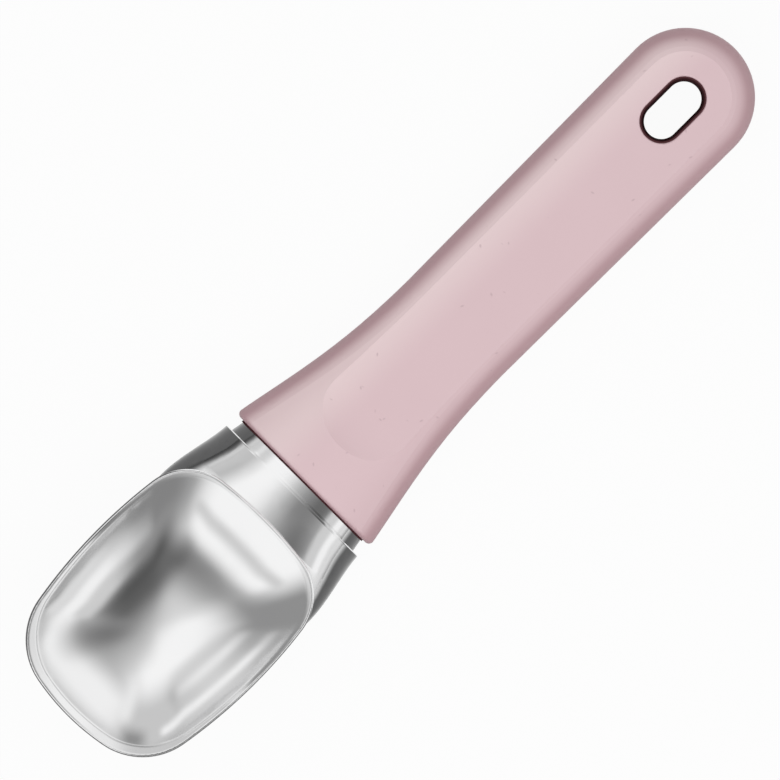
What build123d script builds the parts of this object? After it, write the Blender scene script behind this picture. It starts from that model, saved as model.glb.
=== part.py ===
from build123d import *
from math import cos, radians, sin, sqrt, tan
import os

# Ice cream scoop: a cast aluminium head with a tang, and a moulded handle over a pinned two-part core.
# Millimetres. +X runs from the bowl's tip to the handle's end, +Z points out of the bowl's mouth.
# The origin is at the middle of the scoop's box, on the surface that it lies on.

# Places along the scoop, measured from the bowl's tip
overall_length = 210.0
bowl_deepest_at = 28.0
bowl_widest_at = 34.6
neck_sunk_at = 36.0
neck_spread_at = 46.0
neck_root_at = 54.0
neck_middle_at = 62.0
shoulder_at = 70.8
mouth_at = 74.1
spigot_end_at = 82.0
thumb_rest_ends_at = 95.6
waist_at = 122.0

# Places along the handle, measured from its end
tang_end_from_end = 60.0
pegs_from_end = 45.0
slot_from_end = 19.5

# Bowl
bowl_length = 62.3
bowl_half_width = 24.6
rim_height = 24.5
bowl_depth = 10.5
floor_thickness = 2.6
front_lip = 2.4
side_lip = 1.4
rear_lip = 1.1
lip_outer_round = 0.8
lip_inner_round = 0.6
front_bow = 4.1
rear_bow = 2.6
front_corner_draw_in = 3.8
rear_corner_draw_in = 2.6
front_corner_radius = 15.8
rear_corner_radius = 13.0
bowl_levels = 8
floor_angle = 1.5
inner_rim_angle = 46.0
underside_angle = 6.0
outer_rim_angle = 90.0

# Neck, domed across, with its underside as a share of the rim's height
neck_sunk_half_width = 17.0
neck_spread_half_width = 22.3
neck_root_half_width = 23.2
neck_middle_half_width = 22.05
shoulder_half_width = 20.6
neck_sunk_underside = 0.57
neck_spread_underside = 0.47
neck_root_underside = 0.31
neck_middle_underside = 0.14
shoulder_underside = 0.008
neck_widest_share = 0.33
neck_top_drop = 1.0
shoulder_drop = 0.7

# Shoulder, collar and spigot, elliptical across
shoulder_round = 0.4
collar_half_width = 19.05
collar_step = 3.3
spigot_end_half_width = 17.05
spigot_end_step = 0.5

# Tang and pins
tang_root_half_width = 8.5
tang_end_half_width = 6.5
tang_thickness = 6.0
tang_end_round = 4.0
tang_edge_round = 0.8
tang_clearance = 0.1
pin_radius = 2.0
pin_length = 10.0
pin_inset = 12.0
pin_clearance = 0.1

# Seal at the handle's mouth
seal_gap = 0.35
seal_stand_out = 0.4
seal_lip_length = 1.3
seal_bead_length = 3.0
seal_bead_depth = 0.8

# Handle
mouth_wall = 3.65
facet_drop = 2.15
crown_drop = 0.6
crown_ratio = 1.65
corner_radius = 7.5
corner_limit = 0.9
flare_angle = 11.0
flare_blend_radius = 170.0
waist_half_width = 14.9
tail_radius = 15.5
mouth_round = 1.2
thumb_rest_radius = 26.0
cover_wall = 3.5
flare_spans = 4
core_corner_radius = 3.0

# Hang slot
slot_length = 14.9
slot_width = 7.8
slot_draft = 3.8
liner_edge = 0.3
liner_setback = 0.15
slot_wall = 2.0
slot_edge_round = 0.4

# Pegs that locate the two core halves
peg_radius = 1.6
peg_height = 3.0
peg_spread = 6.0
peg_clearance = 0.1

tip_x = -overall_length / 2
end_x = overall_length / 2
tail_x = end_x - tail_radius
mouth_x = tip_x + mouth_at
shoulder_x = tip_x + shoulder_at
spigot_end_x = tip_x + spigot_end_at
waist_x = tip_x + waist_at
tang_end_x = end_x - tang_end_from_end
pin_xs = (spigot_end_x + pin_inset, tang_end_x - pin_inset)
seal_front_x = mouth_x - seal_stand_out
bead_start_x = seal_front_x + seal_lip_length
bead_end_x = bead_start_x + seal_bead_length
reach = 2 * overall_length

neck_top = rim_height - neck_top_drop
shoulder_top = neck_top - shoulder_drop
axis_height = (shoulder_top + shoulder_underside * rim_height) / 2
collar_half_height = shoulder_top - axis_height - collar_step
spigot_end_half_height = collar_half_height - spigot_end_step
crown_height = axis_height + collar_half_height + mouth_wall
facet_height = crown_height - facet_drop


def across(x):
    """Plane square to the scoop's length, with local x along +Y and local y along +Z."""
    return Plane((x, 0, 0), x_dir=(0, 1, 0), z_dir=(1, 0, 0))


def ellipse_across(x, half_width, half_height, height):
    """Elliptical section of the head, square to its length."""
    with BuildSketch(across(x)) as section:
        with Locations((0, height)):
            Ellipse(half_width, half_height)
    return section.sketch


# Bowl: horizontal sections with four bowed sides and round corners, drawn in towards the deepest point
def bowl_level(height, share, front, rear, half_width):
    """Plan outline of the bowl at one height, as a share of its size at the rim."""
    front_corner_x = share * (front_bow - front)
    front_corner_y = share * (half_width - front_corner_draw_in)
    rear_corner_x = share * (rear - rear_bow)
    rear_corner_y = share * (half_width - rear_corner_draw_in)
    widest_x = share * (bowl_widest_at - bowl_deepest_at)
    with BuildSketch(Plane((tip_x + bowl_deepest_at, 0, height))) as level:
        with BuildLine():
            ThreePointArc(
                (front_corner_x, front_corner_y), (-share * front, 0), (front_corner_x, -front_corner_y)
            )
            ThreePointArc(
                (front_corner_x, -front_corner_y),
                (widest_x, -share * half_width),
                (rear_corner_x, -rear_corner_y),
            )
            ThreePointArc((rear_corner_x, -rear_corner_y), (share * rear, 0), (rear_corner_x, rear_corner_y))
            ThreePointArc(
                (rear_corner_x, rear_corner_y), (widest_x, share * half_width), (front_corner_x, front_corner_y)
            )
        make_face()
        fillet(level.vertices().group_by(Axis.X)[0], share * front_corner_radius)
        fillet(level.vertices().group_by(Axis.X)[-1], share * rear_corner_radius)
    return level.sketch


def bowl_form(depth, start_angle, rim_angle, front, rear, half_width):
    """Dish from its small flat bottom up to the rim, with walls that rise as an arc."""
    start_share = cos(radians(start_angle))
    rim_share = cos(radians(rim_angle))
    levels = []
    for step in range(bowl_levels + 1):
        angle = radians(start_angle + (rim_angle - start_angle) * step / bowl_levels)
        height = rim_height - depth * (cos(angle) - rim_share) / (start_share - rim_share)
        levels.append(bowl_level(height, sin(angle) / sin(radians(rim_angle)), front, rear, half_width))
    with BuildPart() as form:
        loft(levels)
    return form.part


def neck_section(place, half_width, top, underside):
    """Section of the neck: a high dome over its widest height and a flatter underside."""
    bottom = underside * rim_height
    widest = bottom + neck_widest_share * (top - bottom)
    with BuildSketch(across(tip_x + place)) as section:
        with BuildLine():
            EllipticalCenterArc((0, widest), half_width, top - widest, 0, arc_size=180)
            EllipticalCenterArc((0, widest), half_width, widest - bottom, 180, arc_size=180)
        make_face()
    return section.sketch


def spigot_cone(start_x, end_x, grow):
    """Stretch of the tapered oval collar and spigot, grown all round by a clearance."""
    sections = []
    for x in (start_x, end_x):
        share = (x - shoulder_x) / (spigot_end_x - shoulder_x)
        half_width = collar_half_width + share * (spigot_end_half_width - collar_half_width)
        half_height = collar_half_height + share * (spigot_end_half_height - collar_half_height)
        sections.append(ellipse_across(x, half_width + grow, half_height + grow, axis_height))
    with BuildPart() as cone:
        loft(sections, ruled=True)
    return cone.part


def tang_form(grow):
    """Flat tapered tang behind the spigot, with a rounded end, grown all round by a clearance."""
    far_x = tang_end_x + grow
    root_half_width = tang_root_half_width + grow
    end_half_width = tang_end_half_width + grow
    with BuildPart() as tang:
        with BuildSketch(Plane.XY.offset(axis_height)):
            with BuildLine():
                Polyline(
                    (spigot_end_x, root_half_width),
                    (spigot_end_x, -root_half_width),
                    (far_x, -end_half_width),
                    (far_x, end_half_width),
                    close=True,
                )
            make_face()
        extrude(amount=tang_thickness / 2 + grow, both=True)
        fillet(tang.edges().filter_by(Axis.Z).group_by(Axis.X)[-1], tang_end_round + grow)
        long_edges = tang.edges().filter_by(Axis.Z, reverse=True).filter_by(Plane.XY)
        fillet(long_edges - tang.faces().sort_by(Axis.X)[0].edges(), tang_edge_round)
    return tang.part


def pins_form(grow):
    """Both upright pins through the tang, grown all round by a clearance."""
    with BuildPart() as pins:
        with Locations(*[(x, 0, axis_height) for x in pin_xs]):
            Cylinder(pin_radius + grow, pin_length + 2 * grow)
    return pins.part


# Scoop head: bowl, neck, shoulder, collar, spigot and tang in one casting
rear_length = bowl_length - bowl_deepest_at
with BuildPart() as scoop_head:
    add(
        bowl_form(
            bowl_depth + floor_thickness,
            underside_angle,
            outer_rim_angle,
            bowl_deepest_at,
            rear_length,
            bowl_half_width,
        )
    )
    fillet(scoop_head.faces().sort_by(Axis.Z)[-1].edges(), lip_outer_round)
    loft(
        [
            neck_section(neck_sunk_at, neck_sunk_half_width, neck_top, neck_sunk_underside),
            neck_section(neck_spread_at, neck_spread_half_width, neck_top, neck_spread_underside),
            neck_section(neck_root_at, neck_root_half_width, neck_top, neck_root_underside),
            neck_section(neck_middle_at, neck_middle_half_width, neck_top, neck_middle_underside),
            neck_section(shoulder_at, shoulder_half_width, shoulder_top, shoulder_underside),
        ]
    )
    fillet(scoop_head.faces().sort_by(Axis.X)[-1].edges(), shoulder_round)
    add(
        bowl_form(
            bowl_depth,
            floor_angle,
            inner_rim_angle,
            bowl_deepest_at - front_lip,
            rear_length - rear_lip,
            bowl_half_width - side_lip,
        ),
        mode=Mode.SUBTRACT,
    )
    rim = scoop_head.faces().filter_by(Plane.XY).sort_by(Axis.Z)[-1]
    fillet(rim.inner_wires()[0].edges(), lip_inner_round)
    add(spigot_cone(shoulder_x, spigot_end_x, 0))
    add(spigot_cone(bead_start_x, bead_end_x, 2 * seal_gap), mode=Mode.SUBTRACT)
    add(spigot_cone(bead_start_x, bead_end_x, -seal_bead_depth))
    add(tang_form(0))
    add(pins_form(pin_clearance), mode=Mode.SUBTRACT)
scoop_head.part.label = "scoop_head"


# Seal: a bead in the spigot's groove and a thin lip that stands out a little from the handle's mouth
with BuildPart() as neck_seal:
    add(spigot_cone(seal_front_x, bead_end_x, seal_gap))
    add(spigot_cone(shoulder_x, bead_start_x, 0), mode=Mode.SUBTRACT)
    add(spigot_cone(bead_start_x, bead_end_x, -seal_bead_depth), mode=Mode.SUBTRACT)
neck_seal.part.label = "neck_seal"


# Handle: oval sections with a crowned top and underside, closed by a turned end
flare_slope = tan(radians(flare_angle))
flare_end_x = waist_x - flare_blend_radius * flare_slope


def handle_half_width(x):
    """Half-width of the handle in plan: a straight flare, an arc into the waist, then a slight taper out."""
    if x < flare_end_x:
        blend_rise = flare_blend_radius * flare_slope**2 / 2
        return waist_half_width + blend_rise + flare_slope * (flare_end_x - x)
    if x < waist_x:
        return waist_half_width + (waist_x - x) ** 2 / (2 * flare_blend_radius)
    return waist_half_width + (tail_radius - waist_half_width) * (x - waist_x) / (tail_x - waist_x)


def handle_section(x, inset, corner):
    """Section of the handle, square to its length, drawn in all round by a wall."""
    half_width = handle_half_width(x)
    crown_radius = crown_ratio * half_width - inset
    half_width -= inset
    crown_fall = crown_radius - sqrt(crown_radius**2 - half_width**2)
    top = crown_height - inset
    bottom = inset - crown_drop
    upper = top - crown_fall
    lower = bottom + crown_fall
    with BuildSketch(across(x)) as section:
        with BuildLine():
            ThreePointArc((half_width, upper), (0, top), (-half_width, upper))
            Line((-half_width, upper), (-half_width, lower))
            ThreePointArc((-half_width, lower), (0, bottom), (half_width, lower))
            Line((half_width, lower), (half_width, upper))
        make_face()
        fillet(section.vertices(), min(corner, corner_limit * (upper - lower)))
    return section.sketch


def handle_form(inset, corner, front_x, front_round):
    """Outside of the handle, drawn in by a wall, from front_x to its round end."""
    step = (waist_x - front_x) / flare_spans
    flare_places = [front_x + step * place for place in range(flare_spans + 1)]
    facet = facet_height - inset
    rest_x = tip_x + thumb_rest_ends_at
    rest_radius = thumb_rest_radius + inset
    rest_centre = facet_height + thumb_rest_radius
    with BuildPart() as form:
        loft([handle_section(x, inset, corner) for x in flare_places])
        loft([handle_section(x, inset, corner) for x in (waist_x, tail_x)], ruled=True)
        tail_half = split(
            handle_section(tail_x, inset, corner),
            bisect_by=Plane.XZ,
            keep=Keep.BOTTOM,
            mode=Mode.PRIVATE,
        )
        revolve(tail_half.faces(), Axis((tail_x, 0, 0), (0, 0, -1)), 180)
        if front_round > 0:
            fillet(form.faces().sort_by(Axis.X)[0].edges(), front_round)
        with BuildSketch(Plane.XZ):
            with BuildLine():
                CenterArc((rest_x, rest_centre), rest_radius, 180, 90)
                Polyline(
                    (rest_x, facet),
                    (reach, facet),
                    (reach, rest_centre),
                    (rest_x - rest_radius, rest_centre),
                )
            make_face()
        extrude(amount=reach, both=True, mode=Mode.SUBTRACT)
        split(bisect_by=Plane.XY.offset(inset), keep=Keep.TOP)
    return form.part


liner_half_height = facet_height / 2 - liner_setback
liner_wall = liner_edge + tan(radians(slot_draft)) * liner_half_height


def slot_outline(grow):
    """Outline of the hang slot at half the handle's height, grown all round."""
    with BuildSketch(Plane.XY.offset(facet_height / 2)) as outline:
        with Locations((end_x - slot_from_end, 0)):
            SlotOverall(slot_length + 2 * grow, slot_width + 2 * grow)
    return outline.sketch


with BuildPart() as core_envelope:
    add(handle_form(cover_wall, core_corner_radius, spigot_end_x, 0))
    extrude(slot_outline(liner_wall + slot_wall), amount=facet_height, both=True, mode=Mode.SUBTRACT)


# Handle cover: the outer moulding, closed over the core, with the hang slot through it
with BuildPart() as handle_cover:
    add(handle_form(0, corner_radius, mouth_x, mouth_round))
    add(spigot_cone(mouth_x, spigot_end_x, seal_gap), mode=Mode.SUBTRACT)
    add(core_envelope.part, mode=Mode.SUBTRACT)
    extrude(slot_outline(liner_wall), amount=facet_height, both=True, mode=Mode.SUBTRACT)
    flats = handle_cover.faces().filter_by(Plane.XY).sort_by(Axis.Z)
    slot_edges = flats[0].inner_wires()[0].edges() + flats[-1].inner_wires()[0].edges()
    fillet(slot_edges, slot_edge_round)
handle_cover.part.label = "handle_cover"


# Slot liner: an eyelet that narrows from both faces to the middle of the hang slot
with BuildPart() as slot_liner:
    extrude(slot_outline(liner_wall), amount=liner_half_height, both=True)
    extrude(
        slot_outline(0), amount=liner_half_height, both=True, taper=-slot_draft, mode=Mode.SUBTRACT
    )
slot_liner.part.label = "slot_liner"


# Core halves: joined at the tang's middle, with room for the tang and the pins
peg_places = [(end_x - pegs_from_end, side * peg_spread) for side in (-1, 1)]
with BuildPart() as core_lower:
    add(core_envelope.part)
    split(bisect_by=Plane.XY.offset(axis_height), keep=Keep.BOTTOM)
    add(tang_form(tang_clearance), mode=Mode.SUBTRACT)
    add(pins_form(0), mode=Mode.SUBTRACT)
    with BuildSketch(Plane.XY.offset(axis_height)):
        with Locations(*peg_places):
            Circle(peg_radius)
    extrude(amount=peg_height)
core_lower.part.label = "core_lower"

with BuildPart() as core_upper:
    add(core_envelope.part)
    split(bisect_by=Plane.XY.offset(axis_height), keep=Keep.TOP)
    add(tang_form(tang_clearance), mode=Mode.SUBTRACT)
    add(pins_form(0), mode=Mode.SUBTRACT)
    with BuildSketch(Plane.XY.offset(axis_height)):
        with Locations(*peg_places):
            Circle(peg_radius + peg_clearance)
    extrude(amount=peg_height + peg_clearance, mode=Mode.SUBTRACT)
core_upper.part.label = "core_upper"


# Pins that lock the tang to both core halves
with BuildPart() as tang_pins:
    add(pins_form(0))
tang_pins.part.label = "tang_pins"


os.makedirs("parts", exist_ok=True)
export_step(scoop_head.part, "parts/scoop_head.step")
export_step(neck_seal.part, "parts/neck_seal.step")
export_step(handle_cover.part, "parts/handle_cover.step")
export_step(slot_liner.part, "parts/slot_liner.step")
export_step(core_lower.part, "parts/core_lower.step")
export_step(core_upper.part, "parts/core_upper.step")
export_step(tang_pins.part, "parts/tang_pins.step")
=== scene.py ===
import math
from collections import namedtuple

import bpy
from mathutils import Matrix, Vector


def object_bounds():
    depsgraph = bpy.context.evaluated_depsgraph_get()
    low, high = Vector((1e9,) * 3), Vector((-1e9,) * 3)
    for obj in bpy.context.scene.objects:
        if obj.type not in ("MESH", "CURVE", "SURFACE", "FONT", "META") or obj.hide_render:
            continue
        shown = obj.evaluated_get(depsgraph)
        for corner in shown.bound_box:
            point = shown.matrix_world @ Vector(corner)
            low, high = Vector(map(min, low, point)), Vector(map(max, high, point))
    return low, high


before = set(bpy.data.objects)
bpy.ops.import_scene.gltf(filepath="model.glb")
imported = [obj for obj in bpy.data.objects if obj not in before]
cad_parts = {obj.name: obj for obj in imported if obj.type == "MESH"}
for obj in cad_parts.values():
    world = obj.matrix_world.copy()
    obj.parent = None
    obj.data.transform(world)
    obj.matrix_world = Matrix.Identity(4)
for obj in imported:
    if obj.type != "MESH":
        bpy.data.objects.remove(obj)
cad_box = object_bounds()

# Metres, in the frame of the model: +X from the bowl's tip to the handle's end, +Z up out of the bowl.
# Left is +Y, which lies to the upper left in the picture.
X_AXIS = (1, 0, 0)
Y_AXIS = (0, 1, 0)
Z_AXIS = (0, 0, 1)
IN_PLAN = (1, 1, 0)

# Camera: straight above, with the scoop lying corner to corner
IMAGE_PIXELS = 780
METRES_PER_PIXEL = 0.2226e-3
MIDDLE_PIXEL = (401.1, 381.8)
SCOOP_ANGLE = math.radians(45)
CAMERA_HEIGHT = 8.0
SENSOR_MM = 36

# Floor: a hair below the handle
FLOOR_HALF_SIZE = 5.0
FLOOR_Z = -0.0002
FLOOR_COLOUR = (0.6, 0.6, 0.6, 1)
FLOOR_ROUGHNESS = 0.9
FLOOR_GLOW = 0.95

# Studio: soft panels in a dim room with a dark horizon, in degrees. A panel's place is its azimuth
# from +X and its angle from straight up, and its level is set against white.
WHITE = (1, 1, 1, 1)
Panel = namedtuple("Panel", "azimuth polar half_width half_height softness level")
ROOM_LEVEL = 0.62
HORIZON_LEVEL = 0.05
HORIZON_FROM = 84
HORIZON_TO = 97
LEAST_HALF = 0.1
PANELS = [
    # dark flags to the left of the bowl's tip and low on the right
    Panel(128, 60, 36, 36, 32, 0.3),
    Panel(250, 86, 30, 35, 40, 0.25),
    # bright boxes: behind the handle, overhead, beyond the bowl's tip and on the right
    Panel(346, 66, 28, 16, 20, 0.95),
    Panel(63, 22, 25, 22, 25, 1.0),
    Panel(176, 73, 25, 30, 30, 1.0),
    Panel(296, 67, 27, 10, 14, 0.97),
    # dark flags high on the right: in the middle, towards the bowl's tip and towards the handle
    Panel(260, 33, 17, 15, 24, 0.05),
    Panel(220, 28, 22, 2.5, 30, 0.15),
    Panel(320, 32, 11, 22, 45, 0.2),
    # strips: pale on the left, a white and a grey one beyond the tip, white behind the handle
    Panel(87, 66, 5, 24, 14, 0.7),
    Panel(180, 45, 18, 4, 14, 1.0),
    Panel(180, 53, 24, 3, 8, 0.65),
    Panel(20, 53, 5, 16, 14, 0.9),
    # two thin white strips on the left, and a small dark flag behind the handle
    Panel(77, 77, 18, 3, 8, 0.97),
    Panel(89, 57, 6, 4, 8, 0.9),
    Panel(34, 82, 9, 8, 14, 0.3),
    # grey strips on the right
    Panel(282, 55, 10, 7, 8, 0.67),
    Panel(282, 81, 13, 6, 10, 0.77),
]

# Fill lamp: lights matt surfaces only
FILL_SIZE = 1.6
FILL_DISTANCE = 1.5
FILL_POWER = 13.8
FILL_AZIMUTH = 235
FILL_POLAR = 22

# Grains that vary a finish: cells per metre, finer layers, and how often they repeat along each axis
Grain = namedtuple("Grain", "scale detail stretch", defaults=[(1, 1, 1)])
Relief = namedtuple("Relief", "grain height strength")
NOISE_SPAN = (0.3, 0.7)

# Head: tones and roughness of the polish, and the dark tones painted as shade on its steep outer sides and
# underside
METAL_TONES = ((0.885, 0.885, 0.89, 1), (0.91, 0.91, 0.91, 1))
METAL_TONE_GRAIN = Grain(90, 3)
PAINTED_SHADE_TONES = ((0.095, 0.095, 0.097, 1), (0.12, 0.12, 0.12, 1))
PAINTED_SHADE_GRAIN = Grain(700, 3)
METAL_ROUGHNESS = (0.07, 0.11)
METAL_GLOSS_GRAIN = Grain(160, 4)
METAL_RELIEF = Relief(Grain(2600, 3), 0.00002, 0.08)

# Head: how far an outer surface leans, in degrees, before its colour turns dark as painted shade. The
# bright colour reaches further down on the right, and stays where a surface faces the handle by more than
# a share.
FLANK_FROM = 37
FLANK_TO = 48
FLANK_AXIS = (0, -0.07, 1)
REAR_FACING = (0.35, 0.6)

# Head: how it catches light. The polish blends the bowl's walls into each other, more so lower down,
# it rolls the lip inward, eases the shoulder's edge, and crowns the collar as steeply as the neck.
BOWL_MIDDLE_X = -0.074
BOWL_END_X = -0.0435
RIM_Z = 0.0245
BLEND_DEPTH = 0.004
BLEND_REACH = (0.0005, 0.004)
BLEND_SAMPLES = 8
LIP_DEPTH = (0.00002, 0.00012)
LIP_ROLL = 0.65
SHOULDER_EDGE_X = (-0.0347, -0.0337)
SHOULDER_EASE = (0.05, 1, 1)
COLLAR_X = -0.0342
COLLAR_CROWN = (1, 1.7, 1)

# Handle: tones of its top, of the painted light that makes it paler towards the left, and of the painted
# shade on its sides
PINK_TONES = ((0.68, 0.505, 0.53, 1), (0.7, 0.525, 0.55, 1))
PINK_PAINTED_LIGHT = (0.755, 0.6, 0.61, 1)
PINK_PAINTED_SHADE_TONES = ((0.49, 0.315, 0.34, 1), (0.51, 0.33, 0.355, 1))
PINK_TONE_GRAIN = Grain(60, 3)
PINK_SPECULAR = 0.3
PINK_ROUGHNESS = (0.5, 0.6)
PINK_GLOSS_GRAIN = Grain(900, 2)
PINK_RELIEF = Relief(Grain(3500, 2), 0.00003, 0.15)

# Handle: how far a surface leans, in degrees, as painted shade deepens its colour, and where painted light
# makes its top paler towards the left
SIDE_FROM = 12
SIDE_TO = 55
PAINTED_LIGHT_FROM = 0.001
PAINTED_LIGHT_TO = 0.011

# Fibres in the handle's plastic: turns about Z in degrees, cells per metre, and how much longer than wide
FIBRE_TONE = (0.47, 0.32, 0.35, 1)
FIBRE_TURNS = (15, 75, 130)
FIBRE_CELLS = 400
FIBRE_STRETCH = 2.2
FIBRE_EDGE = (0.03, 0.12)
FIBRE_STRENGTH = 0.5
FIBRE_RARITY = 0.7
FIBRE_WAVE = 0.0008

# Small mouldings
WINE_TONES = ((0.07, 0.025, 0.029, 1), (0.095, 0.038, 0.042, 1))
WINE_ROUGHNESS = (0.64, 0.76)
WINE_SPECULAR = 0
CORE_TONES = ((0.1, 0.1, 0.11, 1), (0.14, 0.14, 0.15, 1))
CORE_ROUGHNESS = (0.44, 0.56)
CORE_SPECULAR = 0.5
MOULDING_TONE_GRAIN = Grain(300, 3)
MOULDING_GLOSS_GRAIN = Grain(1200, 2)

# Pins
PIN_TONES = ((0.5, 0.5, 0.5, 1), (0.62, 0.62, 0.62, 1))
PIN_ROUGHNESS = (0.25, 0.4)
PIN_TONE_GRAIN = Grain(400, 3, (1, 1, 12))
PIN_GLOSS_GRAIN = Grain(800, 3, (1, 1, 12))

# Places of a Mix node's two inputs and of its output, by what it mixes
MIX_PLACES = {"VECTOR": (4, 5, 1), "RGBA": (6, 7, 2)}


def cosine(degrees):
    """Cosine of an angle in degrees."""
    return math.cos(math.radians(degrees))


def direction_at(azimuth, polar):
    """Unit vector at an azimuth from +X and an angle from straight up, in degrees."""
    azimuth, polar = math.radians(azimuth), math.radians(polar)
    return (math.sin(polar) * math.cos(azimuth), math.sin(polar) * math.sin(azimuth), math.cos(polar))


# Nodes
def node(tree, kind, **settings):
    """New shader node. A setting named after one of its sockets sets that, any other its property."""
    made = tree.nodes.new(kind)
    for name, value in settings.items():
        socket = made.inputs.get(name)
        if socket is None:
            setattr(made, name, value)
        else:
            socket.default_value = value
    return made


def feed(tree, socket, value):
    """Gives an input socket what it takes: another socket or a plain value."""
    if isinstance(value, bpy.types.NodeSocket):
        tree.links.new(value, socket)
    else:
        socket.default_value = value


def math_node(tree, operation, *values):
    """Math on numbers, each a socket or a plain number."""
    made = node(tree, "ShaderNodeMath", operation=operation)
    for socket, value in zip(made.inputs, values):
        feed(tree, socket, value)
    return made.outputs["Value"]


def vector_math(tree, operation, *values):
    """Node for math on vectors, each a socket or a plain vector."""
    made = node(tree, "ShaderNodeVectorMath", operation=operation)
    for socket, value in zip(made.inputs, values):
        feed(tree, socket, value)
    return made


def vector_node(tree, operation, *values):
    """Vector made from others."""
    return vector_math(tree, operation, *values).outputs["Vector"]


def dot_node(tree, first, second):
    """Share of one vector along another."""
    return vector_math(tree, "DOT_PRODUCT", first, second).outputs["Value"]


def range_node(tree, value, start, end, low, high, smooth=True):
    """Number carried from one range to another, with a soft start and end unless told otherwise."""
    made = node(tree, "ShaderNodeMapRange", interpolation_type="SMOOTHSTEP" if smooth else "LINEAR")
    for name, number in (("From Min", start), ("From Max", end), ("To Min", low), ("To Max", high)):
        made.inputs[name].default_value = number
    tree.links.new(value, made.inputs["Value"])
    return made.outputs["Result"]


def mix_node(tree, kind, share, first, second):
    """Colour or vector between two, each a socket or plain, by a share from 0 to 1."""
    made = node(tree, "ShaderNodeMix", data_type=kind)
    tree.links.new(share, made.inputs[0])
    first_place, second_place, result_place = MIX_PLACES[kind]
    feed(tree, made.inputs[first_place], first)
    feed(tree, made.inputs[second_place], second)
    return made.outputs[result_place]


# Studio
def panel_cover(tree, direction, panel):
    """How much of a soft panel lies in a direction, from 0 to 1."""
    facing = dot_node(tree, direction, direction_at(panel.azimuth, panel.polar))
    sideways = direction_at(panel.azimuth + 90, 90)
    downward = direction_at(panel.azimuth, panel.polar + 90)
    cover = math_node(tree, "GREATER_THAN", facing, 0)
    for axis, half in ((sideways, panel.half_width), (downward, panel.half_height)):
        along = math_node(tree, "DIVIDE", dot_node(tree, direction, axis), facing)
        inner = math.tan(math.radians(max(half - panel.softness / 2, LEAST_HALF)))
        outer = math.tan(math.radians(half + panel.softness / 2))
        edge = range_node(tree, math_node(tree, "ABSOLUTE", along), inner, outer, 1, 0)
        cover = math_node(tree, "MULTIPLY", cover, edge)
    return cover


def make_studio():
    """World of soft panels over a dim room with a dark horizon."""
    world = bpy.data.worlds.new("studio")
    bpy.context.scene.world = world
    world.use_nodes = True
    tree = world.node_tree
    direction = tree.nodes.new("ShaderNodeTexCoord").outputs["Generated"]
    upward = dot_node(tree, direction, Z_AXIS)
    level = range_node(
        tree, upward, cosine(HORIZON_TO), cosine(HORIZON_FROM), HORIZON_LEVEL, ROOM_LEVEL
    )
    for panel in PANELS:
        change = math_node(tree, "SUBTRACT", panel.level, level)
        change = math_node(tree, "MULTIPLY", change, panel_cover(tree, direction, panel))
        level = math_node(tree, "ADD", level, change)
    background = tree.nodes["Background"]
    tree.links.new(level, background.inputs["Strength"])
    background.inputs["Color"].default_value = WHITE


# Materials
def new_material(name):
    """Material with its node tree and its Principled shader."""
    material = bpy.data.materials.new(name)
    material.use_nodes = True
    tree = material.node_tree
    return material, tree, tree.nodes["Principled BSDF"]


def noise(tree, grain):
    """Noise in the model's own metres."""
    place = tree.nodes.new("ShaderNodeTexCoord").outputs["Object"]
    mapping = node(tree, "ShaderNodeMapping", Scale=grain.stretch)
    tree.links.new(place, mapping.inputs["Vector"])
    made = node(tree, "ShaderNodeTexNoise", Scale=grain.scale, Detail=grain.detail)
    tree.links.new(mapping.outputs["Vector"], made.inputs["Vector"])
    return made.outputs["Fac"]


def two_tones(tree, tones, grain):
    """Colour that wavers between two tones."""
    return mix_node(tree, "RGBA", noise(tree, grain), *tones)


def vary_gloss(tree, shader, roughness, grain):
    """Roughness that wavers between two values."""
    wavering = range_node(tree, noise(tree, grain), *NOISE_SPAN, *roughness)
    tree.links.new(wavering, shader.inputs["Roughness"])


def add_relief(tree, shader, relief, normal=None):
    """Fine relief on a shader's surface, or on one that leans as a given normal does."""
    bump = node(tree, "ShaderNodeBump", Distance=relief.height, Strength=relief.strength)
    if normal is not None:
        tree.links.new(normal, bump.inputs["Normal"])
    tree.links.new(noise(tree, relief.grain), bump.inputs["Height"])
    tree.links.new(bump.outputs["Normal"], shader.inputs["Normal"])


def blended(tree, depth):
    """Normal that evens out turns of the surface, over a reach that grows with depth below the rim."""
    made = node(tree, "ShaderNodeBevel", samples=BLEND_SAMPLES)
    reach = range_node(tree, depth, 0, BLEND_DEPTH, *BLEND_REACH, smooth=False)
    tree.links.new(reach, made.inputs["Radius"])
    return made.outputs["Normal"]


def rolled(tree, normal, outward, share):
    """Normal that leans inward by a share."""
    lean = vector_math(tree, "SCALE", outward)
    tree.links.new(share, lean.inputs["Scale"])
    return vector_node(tree, "NORMALIZE", vector_node(tree, "SUBTRACT", normal, lean.outputs["Vector"]))


def leaned(tree, normal, share, factors):
    """Normal whose lean along each axis is multiplied, by a share from 0 to 1."""
    changed = vector_node(tree, "MULTIPLY", normal, factors)
    return vector_node(tree, "NORMALIZE", mix_node(tree, "VECTOR", share, normal, changed))


def painted_shade_share(tree, facing, outward, collar):
    """Where shade is painted dark into the casting's colour, from 0 to 1: its steep outer sides and all of
    its underside.
    """
    leaning = dot_node(tree, leaned(tree, facing, collar, COLLAR_CROWN), FLANK_AXIS)
    steep = range_node(tree, leaning, cosine(FLANK_TO), cosine(FLANK_FROM), 1, 0)
    outside = math_node(tree, "GREATER_THAN", dot_node(tree, facing, outward), 0)
    not_rear = range_node(tree, dot_node(tree, facing, X_AXIS), *REAR_FACING, 1, 0)
    side = math_node(tree, "MULTIPLY", outside, not_rear)
    under = math_node(tree, "LESS_THAN", dot_node(tree, facing, Z_AXIS), 0)
    return math_node(tree, "MULTIPLY", steep, math_node(tree, "MAXIMUM", side, under))


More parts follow.
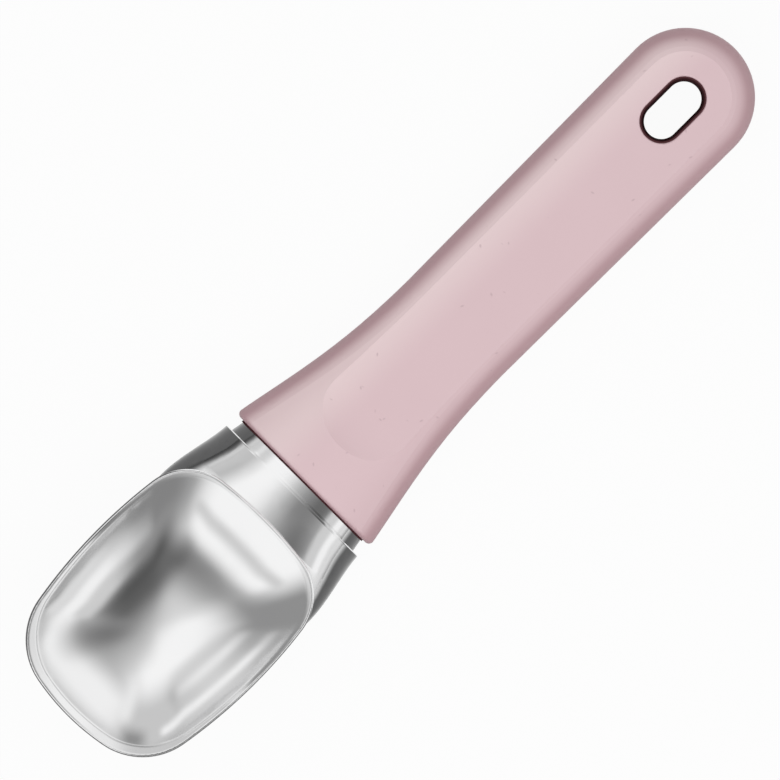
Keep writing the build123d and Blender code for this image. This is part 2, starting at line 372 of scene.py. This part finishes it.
def metal_normal(tree, place, along, outward, collar):
    """Normal of the polish: blended in the bowl, rolled on the lip, eased and crowned behind the neck."""
    in_bowl = math_node(tree, "LESS_THAN", along, BOWL_END_X)
    depth = math_node(tree, "SUBTRACT", RIM_Z, dot_node(tree, place, Z_AXIS))
    normal = blended(tree, math_node(tree, "MULTIPLY", depth, in_bowl))
    roll = math_node(tree, "MULTIPLY", range_node(tree, depth, *LIP_DEPTH, LIP_ROLL, 0), in_bowl)
    normal = rolled(tree, normal, outward, roll)
    edge_start, edge_end = [math_node(tree, "GREATER_THAN", along, x) for x in SHOULDER_EDGE_X]
    edge = math_node(tree, "SUBTRACT", edge_start, edge_end)
    normal = leaned(tree, normal, edge, SHOULDER_EASE)
    return leaned(tree, normal, collar, COLLAR_CROWN)


def polished_metal():
    """Cast aluminium: polished, with painted shade in its colour on the outer flanks and underneath."""
    material, tree, shader = new_material("polished_aluminium")
    shader.inputs["Metallic"].default_value = 1
    shape = tree.nodes.new("ShaderNodeNewGeometry")
    place = shape.outputs["Position"]
    along = dot_node(tree, place, X_AXIS)
    collar = math_node(tree, "GREATER_THAN", along, COLLAR_X)
    from_middle = vector_node(tree, "SUBTRACT", place, (BOWL_MIDDLE_X, 0, 0))
    outward = vector_node(tree, "NORMALIZE", vector_node(tree, "MULTIPLY", from_middle, IN_PLAN))
    bright = two_tones(tree, METAL_TONES, METAL_TONE_GRAIN)
    # Painted shade: a dark colour on the steep outer sides and underneath stands in for dark reflections
    # there.
    painted_shade = two_tones(tree, PAINTED_SHADE_TONES, PAINTED_SHADE_GRAIN)
    share = painted_shade_share(tree, shape.outputs["Normal"], outward, collar)
    tree.links.new(mix_node(tree, "RGBA", share, bright, painted_shade), shader.inputs["Base Color"])
    vary_gloss(tree, shader, METAL_ROUGHNESS, METAL_GLOSS_GRAIN)
    add_relief(tree, shader, METAL_RELIEF, metal_normal(tree, place, along, outward, collar))
    return material


def fibres(tree, turn):
    """Sparse short fibres, all laid about one way, from 0 to their full strength."""
    place = tree.nodes.new("ShaderNodeTexCoord").outputs["Object"]
    wave = node(tree, "ShaderNodeTexNoise", Scale=FIBRE_CELLS, Detail=1)
    tree.links.new(place, wave.inputs["Vector"])
    reach = (FIBRE_WAVE, FIBRE_WAVE, FIBRE_WAVE)
    bend = vector_node(tree, "MULTIPLY_ADD", wave.outputs["Color"], reach, place)
    turned = node(tree, "ShaderNodeVectorRotate", rotation_type="Z_AXIS", Angle=math.radians(turn))
    tree.links.new(bend, turned.inputs["Vector"])
    stretched = node(tree, "ShaderNodeMapping", Scale=(1 / FIBRE_STRETCH, 1, 1))
    tree.links.new(turned.outputs["Vector"], stretched.inputs["Vector"])
    cells = node(tree, "ShaderNodeTexVoronoi", Scale=FIBRE_CELLS)
    tree.links.new(stretched.outputs["Vector"], cells.inputs["Vector"])
    near = range_node(tree, cells.outputs["Distance"], *FIBRE_EDGE, FIBRE_STRENGTH, 0)
    draw = dot_node(tree, cells.outputs["Color"], X_AXIS)
    return math_node(tree, "MULTIPLY", near, math_node(tree, "GREATER_THAN", draw, FIBRE_RARITY))


def pink_plastic():
    """Satin moulded plastic with sparse fibres; painted light makes its top paler towards the left and
    painted shade deepens the colour of its sides.
    """
    material, tree, shader = new_material("pink_plastic")
    shape = tree.nodes.new("ShaderNodeNewGeometry")
    leaning = math_node(tree, "ABSOLUTE", dot_node(tree, shape.outputs["Normal"], Z_AXIS))
    # Painted shade: the colour deepens as the surface turns from flat towards upright.
    side = range_node(tree, leaning, cosine(SIDE_TO), cosine(SIDE_FROM), 1, 0)
    # Painted light: the top grows paler towards +Y, the left.
    painted_light = range_node(tree, dot_node(tree, shape.outputs["Position"], Y_AXIS), PAINTED_LIGHT_FROM, PAINTED_LIGHT_TO, 0, 1)
    top = mix_node(tree, "RGBA", painted_light, two_tones(tree, PINK_TONES, PINK_TONE_GRAIN), PINK_PAINTED_LIGHT)
    painted_side_shade = two_tones(tree, PINK_PAINTED_SHADE_TONES, PINK_TONE_GRAIN)
    tone = mix_node(tree, "RGBA", side, top, painted_side_shade)
    for turn in FIBRE_TURNS:
        tone = mix_node(tree, "RGBA", fibres(tree, turn), tone, FIBRE_TONE)
    tree.links.new(tone, shader.inputs["Base Color"])
    shader.inputs["Specular IOR Level"].default_value = PINK_SPECULAR
    vary_gloss(tree, shader, PINK_ROUGHNESS, PINK_GLOSS_GRAIN)
    add_relief(tree, shader, PINK_RELIEF)
    return material


def plain_moulding(name, tones, roughness, specular):
    """Moulded or rubber piece with a slight unevenness in colour and gloss."""
    material, tree, shader = new_material(name)
    shader.inputs["Specular IOR Level"].default_value = specular
    tree.links.new(two_tones(tree, tones, MOULDING_TONE_GRAIN), shader.inputs["Base Color"])
    vary_gloss(tree, shader, roughness, MOULDING_GLOSS_GRAIN)
    return material


def pin_steel():
    """Ground steel, with marks round the pin."""
    material, tree, shader = new_material("pin_steel")
    shader.inputs["Metallic"].default_value = 1
    tree.links.new(two_tones(tree, PIN_TONES, PIN_TONE_GRAIN), shader.inputs["Base Color"])
    vary_gloss(tree, shader, PIN_ROUGHNESS, PIN_GLOSS_GRAIN)
    return material


def dress(name, material):
    """Gives a node of the model its finish."""
    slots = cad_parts[name].data.materials
    slots.clear()
    slots.append(material)


wine_rubber = plain_moulding("wine_rubber", WINE_TONES, WINE_ROUGHNESS, WINE_SPECULAR)
core_plastic = plain_moulding("core_plastic", CORE_TONES, CORE_ROUGHNESS, CORE_SPECULAR)
dress("scoop_head", polished_metal())
dress("handle_cover", pink_plastic())
# On the neck seal the dark wine tone is partly painted shade: its edge stands in for the shadow line in
# the gap at the handle's mouth.
dress("neck_seal", wine_rubber)
dress("slot_liner", wine_rubber)
dress("core_upper", core_plastic)
dress("core_lower", core_plastic)
dress("tang_pins", pin_steel())


# Stage
def make_floor():
    """Plain pale floor under the scoop, mostly self-lit where it is seen, so only a faint shadow shows."""
    size = FLOOR_HALF_SIZE
    mesh = bpy.data.meshes.new("floor")
    corners = [(x, y, FLOOR_Z) for x, y in ((-size, -size), (size, -size), (size, size), (-size, size))]
    mesh.from_pydata(corners, [], [(0, 1, 2, 3)])
    floor = bpy.data.objects.new("floor", mesh)
    bpy.context.scene.collection.objects.link(floor)
    material, tree, shader = new_material("floor")
    shader.inputs["Base Color"].default_value = FLOOR_COLOUR
    shader.inputs["Roughness"].default_value = FLOOR_ROUGHNESS
    shader.inputs["Specular IOR Level"].default_value = 0
    glow = node(tree, "ShaderNodeEmission", Color=WHITE, Strength=1)
    path = tree.nodes.new("ShaderNodeLightPath")
    seen = math_node(tree, "MAXIMUM", path.outputs["Is Camera Ray"], path.outputs["Is Glossy Ray"])
    seen = math_node(tree, "MAXIMUM", seen, path.outputs["Is Transmission Ray"])
    mix = tree.nodes.new("ShaderNodeMixShader")
    tree.links.new(math_node(tree, "MULTIPLY", seen, FLOOR_GLOW), mix.inputs[0])
    tree.links.new(shader.outputs[0], mix.inputs[1])
    tree.links.new(glow.outputs[0], mix.inputs[2])
    tree.links.new(mix.outputs[0], tree.nodes["Material Output"].inputs["Surface"])
    mesh.materials.append(material)


def make_fill():
    """Large soft lamp that lights matt surfaces without showing in the metal."""
    toward = Vector(direction_at(FILL_AZIMUTH, FILL_POLAR))
    lamp = bpy.data.lights.new("fill", "AREA")
    lamp.shape = "SQUARE"
    lamp.size = FILL_SIZE
    lamp.energy = FILL_POWER
    fill = bpy.data.objects.new("fill", lamp)
    fill.location = toward * FILL_DISTANCE
    fill.rotation_euler = toward.to_track_quat("Z", "Y").to_euler()
    fill.visible_glossy = False
    bpy.context.scene.collection.objects.link(fill)


def make_camera():
    """Long lens straight above the scoop, framed as in the photo."""
    right = Vector((math.cos(SCOOP_ANGLE), -math.sin(SCOOP_ANGLE), 0))
    up = Vector((math.sin(SCOOP_ANGLE), math.cos(SCOOP_ANGLE), 0))
    across = (IMAGE_PIXELS / 2 - MIDDLE_PIXEL[0]) * METRES_PER_PIXEL
    along = (MIDDLE_PIXEL[1] - IMAGE_PIXELS / 2) * METRES_PER_PIXEL
    subject_height = cad_box[1][2] / 2
    lens = bpy.data.cameras.new("camera")
    lens.sensor_width = SENSOR_MM
    lens.lens = SENSOR_MM * (CAMERA_HEIGHT - subject_height) / (IMAGE_PIXELS * METRES_PER_PIXEL)
    lens.clip_end = 2 * CAMERA_HEIGHT
    camera = bpy.data.objects.new("camera", lens)
    camera.location = right * across + up * along + Vector((0, 0, CAMERA_HEIGHT))
    camera.rotation_euler = (0, 0, -SCOOP_ANGLE)
    bpy.context.scene.collection.objects.link(camera)
    bpy.context.scene.camera = camera


make_studio()
make_fill()
make_floor()
make_camera()
bpy.context.scene.view_settings.view_transform = "Standard"
